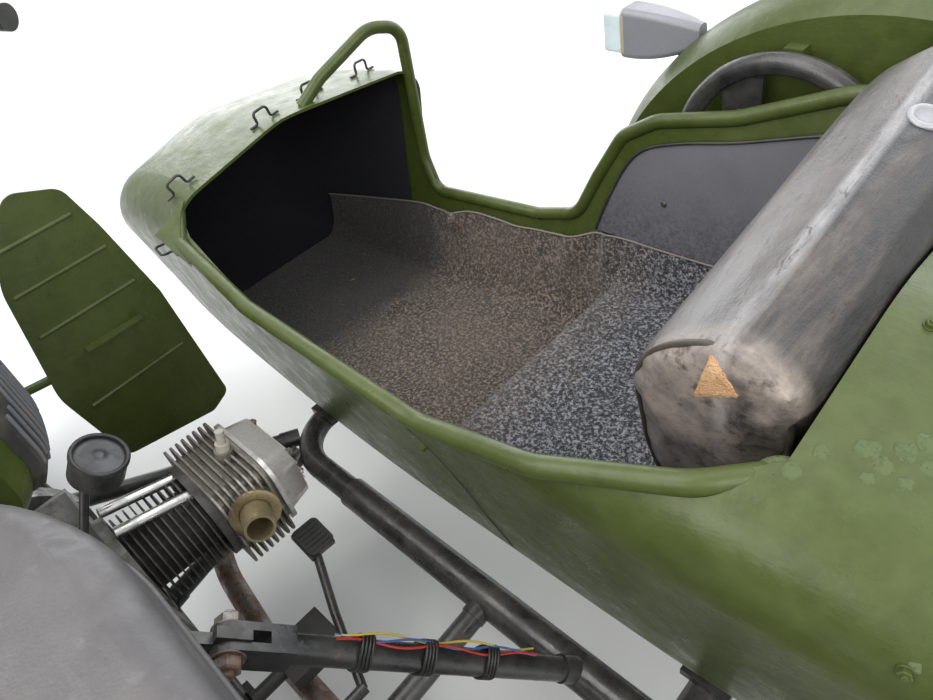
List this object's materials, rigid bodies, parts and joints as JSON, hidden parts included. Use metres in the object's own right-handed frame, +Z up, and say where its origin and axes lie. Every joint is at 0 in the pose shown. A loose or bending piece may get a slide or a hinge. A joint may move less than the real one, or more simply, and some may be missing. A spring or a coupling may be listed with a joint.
{
  "type": "motorcycle with sidecar",
  "caption": "Olive green military motorcycle with an opposed twin engine and an open single-seat sidecar on its right, steered front wheel, boot lid and centre stand.",
  "frame": {"origin": "on the ground, at the middle of the machine's length and width", "axes": "+X forward, +Y to the rider's left, +Z up; the sidecar is on the -Y side"},
  "size_m": [2.3288, 1.6512, 1.0553],
  "materials": {
    "green_paint": "satin, faded and dusty",
    "black_paint": "worn satin black",
    "bare_alloy": "cast, dull",
    "engine_alloy": "cast, oily",
    "barrel_iron": "heat-stained black",
    "bright_steel": "dulled plating",
    "plain_steel": "surface rust",
    "tyre": "block tread",
    "rubber": "ribbed, matte",
    "leatherette": "worn and torn",
    "seat_cover": "black with piping",
    "carpet": "dusty pile",
    "grey_vinyl": "grey with black piping",
    "lamp_grey": "matte",
    "clear_lens": "ribbed",
    "wire_sleeve": "coloured sleeving"
  },
  "bodies": {
    "chassis": {"bike_frame": "black_paint", "engine_crankcase": "engine_alloy", "gearbox": "engine_alloy", "cylinder_barrels": "barrel_iron", "cylinder_heads": "bare_alloy", "rocker_covers": "bare_alloy", "pushrod_tubes": "bright_steel", "spark_plugs": "plain_steel", "intake_stubs": "bare_alloy", "exhaust_system": "plain_steel", "leg_shields": "green_paint", "fuel_tank": "green_paint", "knee_pads": "rubber", "rider_seat": "seat_cover", "rear_fender": "green_paint", "tail_lamp": "green_paint", "swingarm": "black_paint", "rear_shocks": "black_paint", "final_drive": "engine_alloy", "footrests": "rubber", "foot_levers": "plain_steel", "signal_horn": "black_paint", "battery_box": "green_paint", "sidecar_frame": "black_paint", "sidecar_struts": "black_paint", "sidecar_tub": "green_paint", "tub_rim": "green_paint", "tonneau_hooks": "plain_steel", "floor_carpet": "carpet", "seat_base": "green_paint", "side_linings": "grey_vinyl", "sidecar_backrest": "leatherette", "sidecar_fender": "green_paint", "marker_lamp_housing": "lamp_grey", "marker_lamp_lens": "clear_lens", "sidecar_swingarm": "black_paint", "sidecar_shock": "black_paint", "strut_wiring": "wire_sleeve"},
    "steering": {"fork_legs": "black_paint", "fork_yokes": "black_paint", "fork_covers": "green_paint", "front_fender": "green_paint", "handlebar": "black_paint", "hand_grips": "rubber", "headlamp_shell": "green_paint", "headlamp_lens": "clear_lens"},
    "front_roll": {"front_tyre": "tyre", "front_wheel": "green_paint"},
    "rear_roll": {"rear_tyre": "tyre", "rear_wheel": "green_paint"},
    "sidecar_roll": {"sidecar_tyre": "tyre", "sidecar_wheel": "green_paint"},
    "boot": {"boot_lid": "green_paint"},
    "stand": {"centre_stand": "black_paint"}
  },
  "joints": [
    {"name": "steering", "type": "hinge", "parent": "chassis", "child": "steering", "pos_m": [0.50649, 0.41039, 0.77999], "axis": [-0.454, 0, 0.891], "range_deg": [-38, 38]},
    {"name": "front_wheel_roll", "type": "hinge", "parent": "steering", "child": "front_roll", "pos_m": [0.80056, 0.41039, 0.335], "axis": [0, 1, 0], "continuous": true},
    {"name": "rear_wheel_roll", "type": "hinge", "parent": "chassis", "child": "rear_roll", "pos_m": [-0.69944, 0.41039, 0.335], "axis": [0, 1, 0], "continuous": true},
    {"name": "sidecar_wheel_roll", "type": "hinge", "parent": "chassis", "child": "sidecar_roll", "pos_m": [-0.46444, -0.74461, 0.335], "axis": [0, 1, 0], "continuous": true},
    {"name": "boot_lid_hinge", "type": "hinge", "parent": "chassis", "child": "boot", "pos_m": [-0.77044, -0.30461, 0.744], "axis": [0, 1, 0], "range_deg": [0, 80]},
    {"name": "centre_stand_hinge", "type": "hinge", "parent": "chassis", "child": "stand", "pos_m": [-0.22944, 0.41039, 0.156], "axis": [0, -1, 0], "range_deg": [0, 42]}
  ]
}
